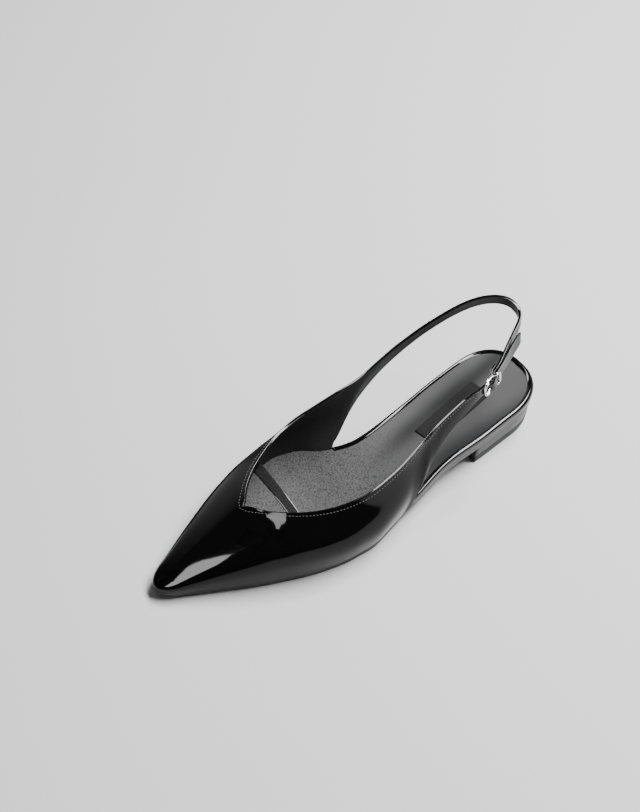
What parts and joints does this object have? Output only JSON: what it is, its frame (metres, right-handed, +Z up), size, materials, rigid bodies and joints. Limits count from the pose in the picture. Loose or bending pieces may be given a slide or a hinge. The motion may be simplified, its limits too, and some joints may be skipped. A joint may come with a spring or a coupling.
{
  "type": "slingback shoe",
  "caption": "Left flat slingback shoe in black patent leather: pointed hollow upper, open waist, low block heel and a sling strap that closes with a small steel buckle.",
  "frame": {"origin": "centre of the shoe's bounding box in plan, on the floor plane that heel and forefoot stand on", "axes": "+X from heel to toe, +Y to the outer side of the left foot, +Z up"},
  "size_m": [0.2649, 0.0881, 0.0802],
  "materials": {
    "sole_leather": "satin",
    "heel_stack": "satin",
    "top_piece_rubber": "matte",
    "sock_leather": "matte, fine pebble grain",
    "rim_leather": "gloss",
    "label_fabric": "matte",
    "patent_leather": "mirror gloss patent",
    "elastic_fabric": "matte",
    "buckle_steel": "polished"
  },
  "bodies": {
    "root": {"outsole": "sole_leather", "heel": "heel_stack", "heel_top_piece": "top_piece_rubber", "insole": "sock_leather", "insole_binding": "rim_leather", "sock_label": "label_fabric", "upper": "patent_leather", "throat_band": "elastic_fabric", "buckle_frame": "buckle_steel", "buckle_prong": "buckle_steel"}
  },
  "joints": []
}
